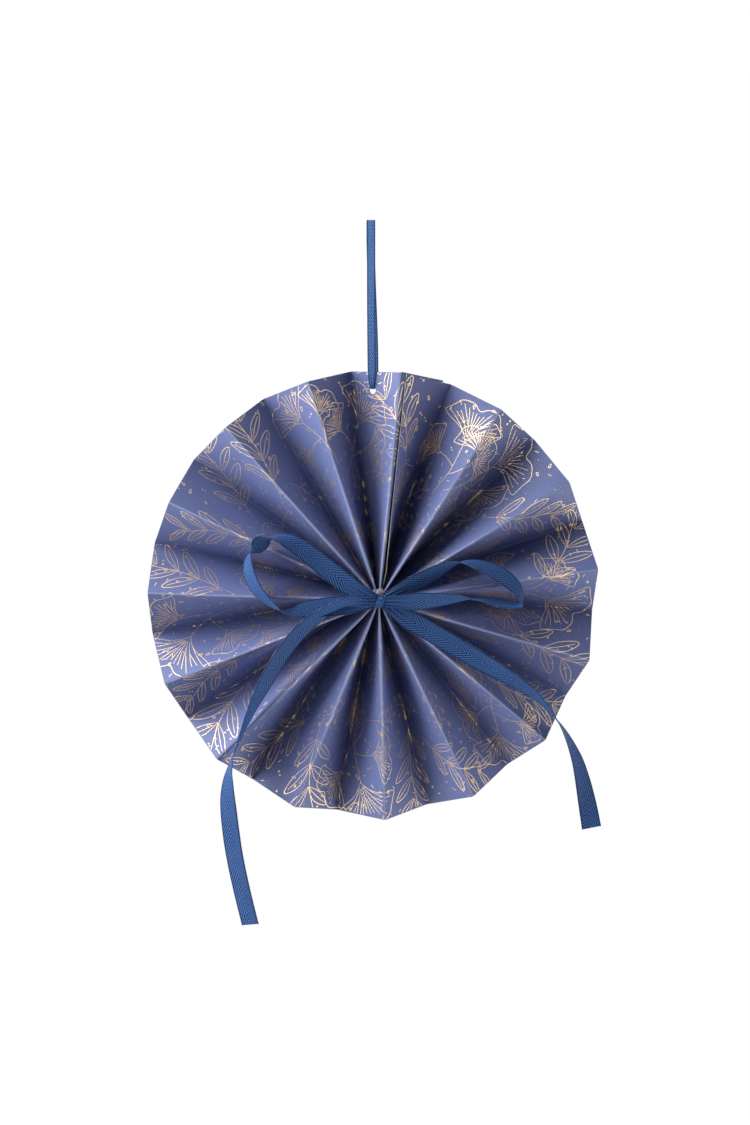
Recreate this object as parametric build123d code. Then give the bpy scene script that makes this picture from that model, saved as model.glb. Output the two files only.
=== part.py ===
from build123d import *
import os
from math import cos, hypot, pi, radians, sin, sqrt

os.makedirs("parts", exist_ok=True)

# Pleated paper ring
pleat_count = 15
rim_radius = 110.0
hub_radius = 3.2
flattest_pleat_depth = 11.1
paper_thickness = 0.3
seam_crest_angle = 6.4
wide_pleats = (27.4, 25.6)
hub_shift = 1.5
curve_radius = 63.0
fold_half_width_hub = 0.30
fold_half_width_rim = 2.4
fold_drop_hub = 0.4
fold_drop_rim = 1.0

# Glued overlap beside the seam crest
seam_setback_hub = 0.8
seam_setback_rim = 2.4
seam_edge_slope = 0.2
seam_lift = 0.7

# Punched hanging hole
hole_diameter = 4.0
hole_inset = 9.0
hole_angle = -0.3

# Glue bead
glue_diameter = 8.4
glue_height = 2.4
glue_edge_radius = 1.6
glue_rise = 1.3
seat_clearance = 0.05

# Bow: the ribbon, its knot and how far from the knot it takes to spread to full width
bow_ribbon_width = 9.5
bow_ribbon_thickness = 0.4
gathered_ribbon_width = 4.4
gather_length = 18.0
knot_width = 3.2
knot_length = 5.6
knot_depth = 4.4
knot_bend_radius = 1.6
knot_lean = 26.0

# Routes of the bow's four runs from the middle of the knot. Each row is to the right, towards
# the viewer and up, then the way across the ribbon from its lower to its upper edge.
left_tail = (
    (-1.0, 1.2, 0.2, (0, 0, 1)),
    (-7.5, 1.6, 0.5, (-0.1, -0.5, 0.85)),
    (-14.5, 2.0, 1.0, (-0.1, -0.75, 0.65)),
    (-23.0, 2.2, -2.2, (-0.25, -0.85, 0.45)),
    (-36.0, -0.4, -11.4, (-0.4, -0.6, 0.7)),
    (-46.5, -2.2, -24.2, (-0.5, -0.6, 0.6)),
    (-56.0, -2.8, -40.5, (-0.6, -0.6, 0.4)),
    (-63.5, -2.8, -56.0, (-0.35, -0.9, 0.2)),
    (-71.8, -4.6, -78.0, (0, -1, 0.1)),
    (-73.8, -7.5, -90.5, (0.55, -0.8, 0.05)),
    (-73.6, -8.8, -104.0, (0.85, -0.5, 0.2)),
    (-70.0, -9.0, -133.0, (0.85, -0.5, 0.2)),
    (-63.2, -9.0, -161.0, (0.85, -0.5, 0.15)),
)
right_loop = (
    (1.0, -0.1, 0.2, (0, 0, 1)),
    (7.0, -0.4, 3.0, (-0.35, -0.2, 0.9)),
    (13.0, -1.1, 6.2, (-0.45, -0.35, 0.8)),
    (24.0, -1.5, 12.0, (-0.4, -0.5, 0.75)),
    (32.0, -0.9, 16.6, (-0.25, -0.75, 0.6)),
    (39.5, -0.1, 19.2, (0, -1, 0.05)),
    (49.5, -0.8, 16.8, (-0.25, -0.8, -0.5)),
    (60.7, -1.7, 11.2, (-0.45, -0.6, -0.65)),
    (68.2, -1.3, 4.0, (-0.45, -0.8, -0.35)),
    (70.0, -1.0, -3.0, (-0.1, -0.95, -0.2)),
    (59.5, -0.9, -2.0, (-0.15, -0.9, -0.35)),
    (46.5, -0.1, 0.8, (0, -1, 0)),
    (34.0, 0.3, 1.0, (0, -0.75, 0.65)),
    (20.6, 0.5, 0.0, (0, -0.4, 0.9)),
    (10.0, 1.0, -0.5, (0, -0.1, 1)),
    (1.0, 1.2, 0.0, (0, 0, 1)),
)
left_loop = (
    (-1.0, -0.1, 0.4, (0, 0, 1)),
    (-7.5, -0.5, 3.4, (0.4, 0, 0.9)),
    (-14.0, -1.3, 6.8, (0.6, 0, 0.8)),
    (-26.0, -2.7, 16.2, (0.6, 0.1, 0.8)),
    (-35.0, -2.7, 24.0, (0.55, 0.35, 0.75)),
    (-43.0, -2.1, 29.2, (0.5, 0.6, 0.6)),
    (-51.5, -1.0, 31.8, (0.05, 1, 0.05)),
    (-57.5, -1.4, 28.4, (0, 0.7, -0.7)),
    (-63.0, -1.4, 22.8, (-0.4, 0.7, -0.6)),
    (-63.2, -1.0, 14.8, (-0.6, 0.8, -0.1)),
    (-59.4, -1.2, 5.8, (-0.65, 0.75, -0.15)),
    (-52.5, -0.8, -1.2, (-0.45, 0.9, -0.15)),
    (-45.0, -0.4, -6.0, (0, 1, 0.1)),
    (-36.0, -1.7, -3.8, (0, 0.65, 0.75)),
    (-21.5, -2.3, -2.4, (0, 0.3, 0.95)),
    (-9.5, -1.7, -1.2, (0, 0.1, 1)),
    (-1.0, -1.4, -0.4, (0, 0, 1)),
)
right_tail = (
    (1.0, -1.4, -0.2, (0, 0, 1)),
    (5.5, -2.0, -3.2, (0.4, 0, 0.9)),
    (11.0, -2.7, -7.4, (0.55, 0, 0.85)),
    (30.6, -4.0, -18.9, (0.5, 0, 0.85)),
    (50.4, -3.8, -31.0, (0.45, -0.25, 0.85)),
    (63.5, -3.3, -38.4, (0.45, -0.65, 0.6)),
    (75.8, -3.5, -46.8, (0.35, -0.85, 0.35)),
    (86.5, -4.7, -58.6, (0, -1, 0.05)),
    (94.0, -7.5, -70.7, (-0.3, -0.9, -0.2)),
    (101.0, -9.0, -88.2, (-0.8, -0.6, -0.1)),
    (105.8, -9.0, -115.3, (-1, 0, -0.15)),
)

# Hanging ribbon: its route from the middle of the hole. It runs from one end down behind the rim,
# through the hole and up in front, then over the top to lap its own other end.
hanging_ribbon_width = 4.0
hanging_ribbon_thickness = 0.3
pinched_ribbon_width = 1.8
pinch_length = 9.0
hanging_route = (
    (-0.9, 1.7, 79.5),
    (-0.9, 1.8, 72.0),
    (-0.7, 2.0, 60.0),
    (0.0, 2.3, 42.0),
    (0.7, 2.4, 24.0),
    (0.9, 2.4, 11.0),
    (0.9, 2.2, 4.5),
    (0.7, 1.5, 1.3),
    (0.0, 0.0, 0.5),
    (-0.6, -1.5, 1.5),
    (-0.6, -2.0, 6.0),
    (-0.7, -1.9, 14.0),
    (-0.8, -1.6, 28.0),
    (-0.9, -1.4, 46.0),
    (-0.9, -1.3, 62.0),
    (-0.9, -1.3, 74.0),
    (-0.9, -1.3, 81.5),
    (-0.9, 2.2, 81.5),
    (-0.9, 2.3, 76.0),
    (-0.9, 2.4, 70.0),
)


def crest_angles():
    """Angles of the front folds, clockwise from the top. The two pleats after the seam are pulled wider."""
    even_pleat = (360 - sum(wide_pleats)) / (pleat_count - len(wide_pleats))
    angles = [seam_crest_angle]
    for k in range(pleat_count - 1):
        gap = wide_pleats[k] if k < len(wide_pleats) else even_pleat
        angles.append(angles[-1] + gap)
    return angles


def fold_angles():
    """Front and back folds in turn, each back fold midway between two front folds."""
    crests = crest_angles()
    folds = []
    for crest, following in zip(crests, crests[1:] + [crests[0] + 360]):
        folds += [crest, (crest + following) / 2]
    return folds


def chord(radius, angle):
    return 2 * radius * sin(radians(angle) / 2)


def panel_width():
    """Width of every panel, set by how deep the widest pleat still is at the rim."""
    crests = crest_angles()
    widest_pleat = max(b - a for a, b in zip(crests, crests[1:] + [crests[0] + 360]))
    return hypot(flattest_pleat_depth, chord(rim_radius, widest_pleat / 2))


def along(radius):
    """0 at the hub, 1 at the rim."""
    return (radius - hub_radius) / (rim_radius - hub_radius)


def place(radius, angle, depth):
    """A point of the fan at an angle in degrees clockwise from the top."""
    turn = radians(angle)
    return Vector(hub_shift * (1 - along(radius)) + radius * sin(turn), depth, radius * cos(turn))


def fold_depth(radius, panel_angle):
    """Half the pleat depth where panels of constant width span panel_angle degrees at this radius."""
    return sqrt(panel_width() ** 2 - chord(radius, panel_angle) ** 2) / 2


def ring(radius):
    """Middle of the paper at one radius: three points for each fold, plus the two sides of the seam's edge.
    Each point comes with how far the front of the paper is lifted there by the overlap."""
    folds = fold_angles()
    share = along(radius)
    half_width = fold_half_width_hub + (fold_half_width_rim - fold_half_width_hub) * share**2
    drop = fold_drop_hub + (fold_drop_rim - fold_drop_hub) * share**2
    setback = seam_setback_hub + (seam_setback_rim - seam_setback_hub) * share
    spread = half_width / radius * 180 / pi
    points = []
    for k, angle in enumerate(folds):
        before = folds[k - 1] - (360 if k == 0 else 0)
        after = folds[(k + 1) % len(folds)] + (360 if k == len(folds) - 1 else 0)
        side = -1 if k % 2 == 0 else 1
        depth = fold_depth(radius, (after - before) / 2)
        points.append((place(radius, angle - spread, side * (depth - drop)), 0.0))
        points.append((place(radius, angle, side * depth), 0.0))
        points.append((place(radius, angle + spread, side * (depth - drop)), 0.0))
    shoulder, next_shoulder = points[2][0], points[3][0]
    panel = (next_shoulder - shoulder).normalized()
    points.insert(3, (shoulder + panel * setback, 0.0))
    points.insert(4, (shoulder + panel * (setback + seam_edge_slope), seam_lift))
    return points


def paper_faces_at(radius, inner, outer):
    """Front and back corner points of the paper at one radius, mitred across every fold."""
    points = ring(radius)
    fronts, backs = [], []
    for k, (point, lift) in enumerate(points):
        fold_line = outer[k][0] - inner[k][0]
        before = fold_line.cross(point - points[k - 1][0]).normalized()
        after = fold_line.cross(points[(k + 1) % len(points)][0] - point).normalized()
        mitre = (before + after) / (1 + before.dot(after))
        fronts.append(point - mitre * (paper_thickness / 2 + lift))
        backs.append(point + mitre * (paper_thickness / 2))
    return fronts, backs


def curve_through(start, middle, end):
    """Curved line from start to end that passes through middle halfway."""
    return Edge.make_bezier(start, middle * 2 - (start + end) / 2, end)


def sewn_solid(faces):
    return Solid(Shell(Face.sew_faces(faces)[0]))


def pleated_fan():
    hub, middle, rim = ring(hub_radius), ring(curve_radius), ring(rim_radius)
    levels = [
        paper_faces_at(hub_radius, hub, middle),
        paper_faces_at(curve_radius, hub, rim),
        paper_faces_at(rim_radius, middle, rim),
    ]
    count = len(hub)
    faces = []
    for side in (0, 1):
        lines = [curve_through(*(level[side][k] for level in levels)) for k in range(count)]
        faces += [Face.make_surface_from_curves(lines[k - 1], lines[k]) for k in range(count)]
    for fronts, backs in (levels[0], levels[2]):
        for k in range(count):
            front_edge = Edge.make_line(fronts[k - 1], fronts[k])
            back_edge = Edge.make_line(backs[k - 1], backs[k])
            faces.append(Face.make_surface_from_curves(front_edge, back_edge))
    return sewn_solid(faces)


def hole_centre_and_axis():
    """Middle of the punched hole on the panel before the seam crest, and the panel's own normal there."""
    radius = rim_radius - hole_inset
    points = ring(radius)
    before, after = points[-1][0], points[0][0]
    wanted = place(radius, hole_angle, 0)
    centre = before + (after - before) * ((wanted.X - before.X) / (after.X - before.X))
    outward = place(rim_radius, hole_angle, 0) - place(hub_radius, hole_angle, 0)
    return centre, outward.cross(after - before).normalized()


def punched_fan():
    centre, axis = hole_centre_and_axis()
    punch = Plane(origin=centre, z_dir=axis) * Cylinder(hole_diameter / 2, hole_diameter)
    return pleated_fan() - punch


def glue_bead(front):
    """Flattened drop with a flat back that sits on the fold tips round the hub."""
    base = Plane(origin=(hub_shift, front - seat_clearance, glue_rise), x_dir=(1, 0, 0), z_dir=(0, -1, 0))
    drop = extrude(base * Circle(glue_diameter / 2), glue_height)
    return fillet(drop.faces().sort_by(Axis.Y)[0].edges(), glue_edge_radius)


def ribbon_corners(route, width_at, thickness):
    """Control points of the four long edges of a ribbon whose route gives a point and the way across."""
    corners = ([], [], [], [])
    for k, (point, across) in enumerate(route):
        ahead = route[min(k + 1, len(route) - 1)][0] - route[max(k - 1, 0)][0]
        sideways = (across - ahead * (across.dot(ahead) / ahead.dot(ahead))).normalized()
        half = sideways * (width_at(point) / 2)
        through = ahead.cross(sideways).normalized() * (thickness / 2)
        offsets = (half + through, half - through, -half - through, -half + through)
        for corner, offset in zip(corners, offsets):
            corner.append(point + offset)
    return corners


def smooth_pieces(points):
    """Quadratic curves that meet smoothly halfway along each run of the control points."""
    joints = [points[0]] + [(a + b) / 2 for a, b in zip(points[1:-2], points[2:-1])] + [points[-1]]
    return [Edge.make_bezier(a, b, c) for a, b, c in zip(joints, points[1:-1], joints[1:])]


def ribbon(route, width_at, thickness):
    corners = ribbon_corners(route, width_at, thickness)
    edges = [smooth_pieces(corner) for corner in corners]
    faces = []
    for side in range(4):
        faces += [Face.make_surface_from_curves(a, b) for a, b in zip(edges[side - 1], edges[side])]
    for end in (0, -1):
        faces.append(Face(Wire.make_polygon([corner[end] for corner in corners], close=True)))
    return sewn_solid(faces)


def bow(front):
    """The ribbon's four runs out of the knot, joined by the knot's own turn round them."""
    knot_front = front - 2 * seat_clearance - glue_height
    knot_middle = Vector(hub_shift, knot_front - knot_depth / 2, 0)
    lean = radians(knot_lean)
    turn = Plane(origin=knot_middle, x_dir=(cos(lean), 0, -sin(lean)), z_dir=(0, -1, 0))
    band = Box(knot_width, knot_length, knot_depth)
    knot = turn * fillet(band.edges().filter_by(Axis.X), knot_bend_radius)

    def gathered_width(point):
        spread = min((point - knot_middle).length / gather_length, 1)
        return gathered_ribbon_width + (bow_ribbon_width - gathered_ribbon_width) * spread

    runs = []
    for rows in (left_tail, right_loop, left_loop, right_tail):
        route = [(knot_middle + Vector(x, -lift, z), Vector(*across)) for x, lift, z, across in rows]
        runs.append(ribbon(route, gathered_width, bow_ribbon_thickness))
    return knot.fuse(*runs)


def hanging_loop():
    """Narrow ribbon through the hole, closed to a loop above the rim."""
    centre, _ = hole_centre_and_axis()

    def pinched_width(point):
        spread = min((point - centre).length / pinch_length, 1)
        return pinched_ribbon_width + (hanging_ribbon_width - pinched_ribbon_width) * spread

    route = [(centre + Vector(x, y, z), Vector(1, 0, 0)) for x, y, z in hanging_route]
    return ribbon(route, pinched_width, hanging_ribbon_thickness)


fan = punched_fan()
hub_front = fan.bounding_box().min.Y
export_step(fan, "parts/pleated_fan.step")
export_step(glue_bead(hub_front), "parts/centre_glue.step")
export_step(bow(hub_front), "parts/bow_ribbon.step")
export_step(hanging_loop(), "parts/hanging_ribbon.step")
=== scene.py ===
from math import cos, exp, hypot, pi, radians, sin

import bmesh
import bpy
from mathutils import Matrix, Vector, noise


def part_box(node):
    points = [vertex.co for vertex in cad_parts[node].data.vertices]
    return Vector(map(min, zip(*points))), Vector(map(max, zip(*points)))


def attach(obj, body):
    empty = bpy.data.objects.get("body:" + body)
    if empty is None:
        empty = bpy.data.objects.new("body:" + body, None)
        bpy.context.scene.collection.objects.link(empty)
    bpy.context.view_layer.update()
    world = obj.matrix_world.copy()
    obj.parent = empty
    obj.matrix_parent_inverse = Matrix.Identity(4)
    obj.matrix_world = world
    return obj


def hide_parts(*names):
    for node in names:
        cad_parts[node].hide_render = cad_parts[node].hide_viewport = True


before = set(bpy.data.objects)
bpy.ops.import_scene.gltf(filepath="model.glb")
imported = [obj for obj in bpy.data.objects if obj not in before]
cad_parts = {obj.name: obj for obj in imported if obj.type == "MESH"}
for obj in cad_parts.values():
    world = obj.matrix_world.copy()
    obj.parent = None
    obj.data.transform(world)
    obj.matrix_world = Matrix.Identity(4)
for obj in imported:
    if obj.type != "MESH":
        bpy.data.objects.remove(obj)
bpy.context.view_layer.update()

# Pleated paper
# One long strip of printed paper, folded to and fro into thirty panels of one width and closed to
# a ring. One end laps over the other beside the crest next to the hanging hole, and is glued there.
pleat_count = 15
panel_count = 2 * pleat_count
rim_radius = 0.110
hub_radius = 0.0018
flattest_pleat_depth = 0.0111
hub_shift = 0.0015
paper_thickness = 0.0003
wide_pleats = (27.4, 25.6)
even_pleat = (360 - sum(wide_pleats)) / (pleat_count - len(wide_pleats))
panel_width = hypot(flattest_pleat_depth, 2 * rim_radius * sin(radians(wide_pleats[0]) / 4))
hole_diameter = 0.004
hole_across, hole_up = -0.0004, 0.10066
columns_per_panel, fold_columns = 14, 4
tab_share = 0.86


class Field:
    """A node's output that plain arithmetic can be written with."""

    def __init__(self, tree, socket):
        self.tree = tree
        self.socket = socket

    def __add__(self, other):
        return calculate("ADD", self, other)

    def __sub__(self, other):
        return calculate("SUBTRACT", self, other)

    def __rsub__(self, other):
        return calculate("SUBTRACT", other, self)

    def __mul__(self, other):
        return calculate("MULTIPLY", self, other)

    def __truediv__(self, other):
        return calculate("DIVIDE", self, other)

    __radd__ = __add__
    __rmul__ = __mul__


def feed(tree, socket, value):
    """Links a field to a socket, or sets the socket to a plain value."""
    if isinstance(value, Field):
        tree.links.new(value.socket, socket)
    elif socket.type == "VECTOR" and isinstance(value, (int, float)):
        socket.default_value = (value, value, value)
    else:
        socket.default_value = value


def calculate(operation, *values):
    """One Math or Vector Math node."""
    fields = [value for value in values if isinstance(value, Field)]
    tree = fields[0].tree
    vectors = any(field.socket.type == "VECTOR" for field in fields)
    made = tree.nodes.new("ShaderNodeVectorMath" if vectors else "ShaderNodeMath")
    made.operation = operation
    for socket, value in zip(made.inputs, values):
        feed(tree, socket, value)
    return Field(tree, made.outputs[0])


def at_least(value, low):
    return calculate("MAXIMUM", value, low)


def at_most(value, high):
    return calculate("MINIMUM", value, high)


def step_up(tree, value, low, high):
    """0 below low, 1 above high, and smooth between them."""
    made = tree.nodes.new("ShaderNodeMapRange")
    made.interpolation_type = "SMOOTHSTEP"
    feed(tree, made.inputs["Value"], value)
    feed(tree, made.inputs["From Min"], low)
    feed(tree, made.inputs["From Max"], high)
    return Field(tree, made.outputs["Result"])


def add_node(tree, kind, output, feeds=(), **options):
    """Adds one node with its options and inputs, and returns one of its outputs."""
    made = tree.nodes.new(kind)
    for name, value in options.items():
        setattr(made, name, value)
    for name, value in dict(feeds).items():
        feed(tree, made.inputs[name], value)
    return Field(tree, made.outputs[output])


def vector_of(tree, x, y, z):
    return add_node(tree, "ShaderNodeCombineXYZ", 0, {"X": x, "Y": y, "Z": z})


def shape_tree(name, inputs):
    """An empty Geometry Nodes tree with these named inputs, given as {name: socket type}."""
    tree = bpy.data.node_groups.new(name, "GeometryNodeTree")
    tree.interface.new_socket("Geometry", in_out="OUTPUT", socket_type="NodeSocketGeometry")
    for label, kind in inputs.items():
        tree.interface.new_socket(label, in_out="INPUT", socket_type=kind)
    group_input = tree.nodes.new("NodeGroupInput")
    return tree, {label: Field(tree, group_input.outputs[label]) for label in inputs}


def end_tree(tree, geometry, material):
    """Closes a tree with Realize Instances and Set Material."""
    real = add_node(tree, "GeometryNodeRealizeInstances", 0, {"Geometry": geometry})
    dressed = add_node(tree, "GeometryNodeSetMaterial", 0, {"Geometry": real, "Material": material})
    group_output = tree.nodes.new("NodeGroupOutput")
    tree.links.new(dressed.socket, group_output.inputs["Geometry"])


def as_plain_mesh(piece):
    """Turns what the piece's modifiers make into its own mesh, and takes them off."""
    graph = bpy.context.evaluated_depsgraph_get()
    mesh = bpy.data.meshes.new_from_object(
        piece.evaluated_get(graph), preserve_all_data_layers=True, depsgraph=graph
    )
    piece.modifiers.clear()
    for unused in [k for k, material in enumerate(mesh.materials) if material is None]:
        mesh.materials.pop(index=unused)
    piece.data = mesh
    mesh.name = piece.name
    return piece


def new_piece(name, mesh=None):
    piece = bpy.data.objects.new(name, mesh or bpy.data.meshes.new(name))
    bpy.context.scene.collection.objects.link(piece)
    return piece


def grown(name, tree, values, mesh=None):
    """A piece made by a tree, with its inputs set by their sockets' identifiers."""
    piece = new_piece(name, mesh)
    modifier = piece.modifiers.new("Shape", "NODES")
    modifier.node_group = tree
    for item in tree.interface.items_tree:
        if item.in_out == "INPUT" and item.name in values:
            modifier[item.identifier] = values[item.name]
    return as_plain_mesh(piece)


def smooth_up_to(piece, degrees):
    """Smooth shading, with edges sharper than this left crisp."""
    mesh = piece.data
    mesh.polygons.foreach_set("use_smooth", [True] * len(mesh.polygons))
    mesh.set_sharp_from_angle(angle=radians(degrees))


def new_finish(name, **values):
    """A material whose Principled shader has these plain values. Returns it, its tree and the shader."""
    material = bpy.data.materials.new(name)
    material.use_nodes = True
    shader = material.node_tree.nodes["Principled BSDF"]
    for label, value in values.items():
        shader.inputs[label.replace("_", " ")].default_value = value
    return material, material.node_tree, shader


def uv_parts(tree, uv_map):
    """The two coordinates of a UV map."""
    uv = add_node(tree, "ShaderNodeUVMap", 0, uv_map=uv_map)
    along = add_node(tree, "ShaderNodeSeparateXYZ", "X", {"Vector": uv})
    across = add_node(tree, "ShaderNodeSeparateXYZ", "Y", {"Vector": uv})
    return uv, along, across


def speckle(tree, vector, scale, detail=2.0):
    return add_node(
        tree, "ShaderNodeTexNoise", 0, {"Vector": vector, "Scale": scale, "Detail": detail}
    )


def blended(tree, share, low, high):
    """A colour between two colours."""
    made = tree.nodes.new("ShaderNodeMix")
    made.data_type = "RGBA"
    sockets = {socket.identifier: socket for socket in [*made.inputs, *made.outputs]}
    feed(tree, sockets["Factor_Float"], share)
    feed(tree, sockets["A_Color"], low)
    feed(tree, sockets["B_Color"], high)
    return Field(tree, sockets["Result_Color"])


def relief(tree, shader, height, depth):
    """Bump of this real depth in metres."""
    bump = add_node(tree, "ShaderNodeBump", 0, {"Height": height, "Distance": depth})
    feed(tree, shader.inputs["Normal"], bump)


def printed_paper():
    """Slate-indigo paper: cloudy dye, fine fibre grain and a paler line along every front fold, wider
    towards the hub, where the folds are pinched hardest. The pale line is partly wear and partly a
    painted highlight on the crests."""
    material, tree, shader = new_finish("printed_paper", Roughness=0.45, Specular_IOR_Level=0.25)
    uv, along, radius = uv_parts(tree, "strip")
    clouds = speckle(tree, uv, 45.0)
    grain = speckle(tree, uv, 1900.0, 4.0)
    dye = blended(tree, clouds, (0.136, 0.170, 0.375, 1), (0.166, 0.208, 0.440, 1))
    fibre = blended(tree, grain, (0.105, 0.135, 0.310, 1), (0.205, 0.250, 0.505, 1))
    tone = blended(tree, 0.6, dye, fibre)
    pleats = along / (2 * panel_width)
    from_crest = calculate("ABSOLUTE", pleats - calculate("ROUND", pleats)) * (2 * panel_width)
    # A paler line along each front crest: partly wear, partly a painted highlight.
    wear_and_highlight_width = 0.0011 - step_up(tree, radius, 0.03, 0.08) * 0.0005
    wear_and_painted_highlight = (1 - step_up(tree, from_crest / wear_and_highlight_width, 0.2, 1.0)) * (grain * 0.7 + 0.2)
    # The pale crest colour stands for wear and for a painted highlight on the crests.
    feed(tree, shader.inputs["Base Color"], blended(tree, wear_and_painted_highlight, tone, (0.46, 0.50, 0.74, 1)))
    relief(tree, shader, grain, 0.00004)
    return material


def bare_paper(name, shade):
    """Unprinted paper: the back of the sheet and its cut edges."""
    material, tree, shader = new_finish(name, Roughness=0.7, Specular_IOR_Level=0.3)
    place = add_node(tree, "ShaderNodeTexCoord", "Object")
    grain = speckle(tree, place, 1800.0, 4.0)
    pale = [*shade, 1]
    dull = [0.86 * part for part in shade] + [1]
    feed(tree, shader.inputs["Base Color"], blended(tree, grain, dull, pale))
    relief(tree, shader, grain, 0.00004)
    return material


def folded_strip_tree():
    """The strip as a grid of columns along it and rows from the hub to the rim, set to its folds."""
    length = "NodeSocketFloat"
    tree, size = shape_tree(
        "folded_strip",
        {
            "Columns per panel": "NodeSocketInt",
            "Rows": "NodeSocketInt",
            "Rim radius": length,
            "Hub radius": length,
            "Hub shift": length,
            "Panel width": length,
            "Seam crest angle": length,
            "First pleat": length,
            "Second pleat": length,
            "Even pleat": length,
            "Fold half width at hub": length,
            "Fold half width at rim": length,
            "Fold drop at hub": length,
            "Fold drop at rim": length,
            "Seam setback at hub": length,
            "Seam setback at rim": length,
            "Seam lift": length,
            "Tab overhang": length,
        },
    )
    fold_share = fold_columns / columns_per_panel
    flat_share = 1 - 2 * fold_share
    tab_end = fold_share + flat_share * tab_share

    def fold_angle(fold):
        turns = calculate("FLOOR", fold / panel_count)
        step = fold - turns * panel_count
        first = at_most(step, 2) * size["First pleat"]
        second = at_most(at_least(step - 2, 0), 2) * size["Second pleat"]
        others = at_least(step - 4, 0) * size["Even pleat"]
        return (size["Seam crest angle"] + (first + second + others) / 2 + turns * 360) * (pi / 180)

    def half_depth(two_panels):
        chord = radius * 2 * calculate("SINE", two_panels / 4)
        return calculate("SQRT", size["Panel width"] * size["Panel width"] - chord * chord) / 2

    def place(angle, depth):
        x = size["Hub shift"] * (1 - share) + reach * calculate("SINE", angle)
        return vector_of(tree, x, depth, reach * calculate("COSINE", angle))

    def hub_to_rim(label, how):
        hub, rim = size[label + " at hub"], size[label + " at rim"]
        return hub + (rim - hub) * how

    index = add_node(tree, "GeometryNodeInputIndex", 0)
    line = calculate("FLOOR", index / size["Rows"])
    even_column = line / size["Columns per panel"]
    share = (index - line * size["Rows"]) / (size["Rows"] - 1)
    radius = size["Hub radius"] + (size["Rim radius"] - size["Hub radius"]) * share
    # A fold has its full width from an eighth of the way out.
    half_width = hub_to_rim("Fold half width", at_most(share * 8, 1))
    drop = hub_to_rim("Fold drop", share * share)
    fold_length = calculate("SQRT", half_width * half_width + drop * drop)
    flat_length = size["Panel width"] - fold_length * 2

    # Away from the seam the columns crowd towards the folds, which keeps the panels flat beside them.
    within = even_column - calculate("FLOOR", even_column)
    over_flat = at_most(at_least((within - fold_share) / flat_share, 0), 1)
    crowded = step_up(tree, step_up(tree, over_flat, 0.0, 1.0), 0.0, 1.0)
    after_start = calculate("GREATER_THAN", even_column, 0.999)
    off_seam = after_start * calculate("LESS_THAN", even_column, panel_count)
    column = even_column + (crowded - over_flat) * flat_share * off_seam

    # The strip starts at the cut edge beyond the seam crest and ends as a tab under its own start.
    on_tab = at_least(column - panel_count, 0)
    reach = radius + size["Tab overhang"] * share * on_tab
    start = hub_to_rim("Seam setback", share) / flat_length * flat_share + fold_share
    panels = column + start * at_least(1 - column, 0) - on_tab * (1 - tab_end)

    fold = calculate("ROUND", panels)
    way = calculate("GREATER_THAN", panels - fold, 0) * 2 - 1
    off_fold = calculate("ABSOLUTE", panels - fold)
    round_fold = at_most(off_fold / fold_share, 1)
    over_panel = at_least((off_fold - fold_share) / flat_share, 0)
    side = calculate("FLOORED_MODULO", fold, 2) * 2 - 1
    here, ahead = fold_angle(fold), fold_angle(fold + way)
    behind, beyond = fold_angle(fold - way), fold_angle(fold + way * 2)
    depth = half_depth(calculate("ABSOLUTE", ahead - behind))
    next_depth = half_depth(calculate("ABSOLUTE", beyond - here))
    spread = way * half_width / radius
    apex = place(here, side * depth)
    shoulder = place(here + spread, side * (depth - drop))
    other_shoulder = place(here - spread, side * (depth - drop))
    next_shoulder = place(ahead - spread, side * (drop - next_depth))
    bend = (shoulder - other_shoulder) * (round_fold / 2)
    bend = bend + ((shoulder + other_shoulder) / 2 - apex) * (round_fold * round_fold)
    point = apex + bend + (next_shoulder - shoulder) * over_panel

    along = fold * size["Panel width"] + way * (round_fold * fold_length + over_panel * flat_length)
    flat_place = add_node(
        tree,
        "GeometryNodeFieldOnDomain",
        0,
        {"Value": vector_of(tree, along, radius, 0.0)},
        data_type="FLOAT_VECTOR",
        domain="POINT",
    )
    columns = size["Columns per panel"] * (panel_count + 1) + 1
    grid = add_node(
        tree, "GeometryNodeMeshGrid", "Mesh", {"Vertices X": columns, "Vertices Y": size["Rows"]}
    )
    mapped = add_node(
        tree,
        "GeometryNodeStoreNamedAttribute",
        0,
        {"Geometry": grid, "Name": "strip", "Value": flat_place},
        data_type="FLOAT2",
        domain="CORNER",
    )
    folded = add_node(tree, "GeometryNodeSetPosition", 0, {"Geometry": mapped, "Position": point})
    on_top = calculate("LESS_THAN", column, 1)
    past_edge = at_least(1 - column, 0)
    # The loose edge stands off most a tenth of the way out, and less and less towards the rim.
    loose = size["Seam lift"] * at_most(share * 10, 1) * (1 - share * 0.75)
    lift = (paper_thickness * 0.97 + loose * step_up(tree, past_edge, 0.7, 1.0)) * on_top
    lift = lift * step_up(tree, past_edge, 0.05, 0.35)
    normal = add_node(tree, "GeometryNodeInputNormal", 0)
    lapped = add_node(tree, "GeometryNodeSetPosition", 0, {"Geometry": folded, "Offset": normal * lift})
    end_tree(tree, lapped, printed_paper())
    return tree


strip = grown(
    "folded_strip",
    folded_strip_tree(),
    {
        "Columns per panel": columns_per_panel,
        "Rows": 57,
        "Rim radius": rim_radius,
        "Hub radius": hub_radius,
        "Hub shift": hub_shift,
        "Panel width": panel_width,
        "Seam crest angle": 6.4,
        "First pleat": wide_pleats[0],
        "Second pleat": wide_pleats[1],
        "Even pleat": even_pleat,
        "Fold half width at hub": 0.00017,
        "Fold half width at rim": 0.0006,
        "Fold drop at hub": 0.0004,
        "Fold drop at rim": 0.00013,
        "Seam setback at hub": 0.0003,
        "Seam setback at rim": 0.0024,
        "Seam lift": 0.0013,
        "Tab overhang": 0.0009,
    },
)


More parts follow.
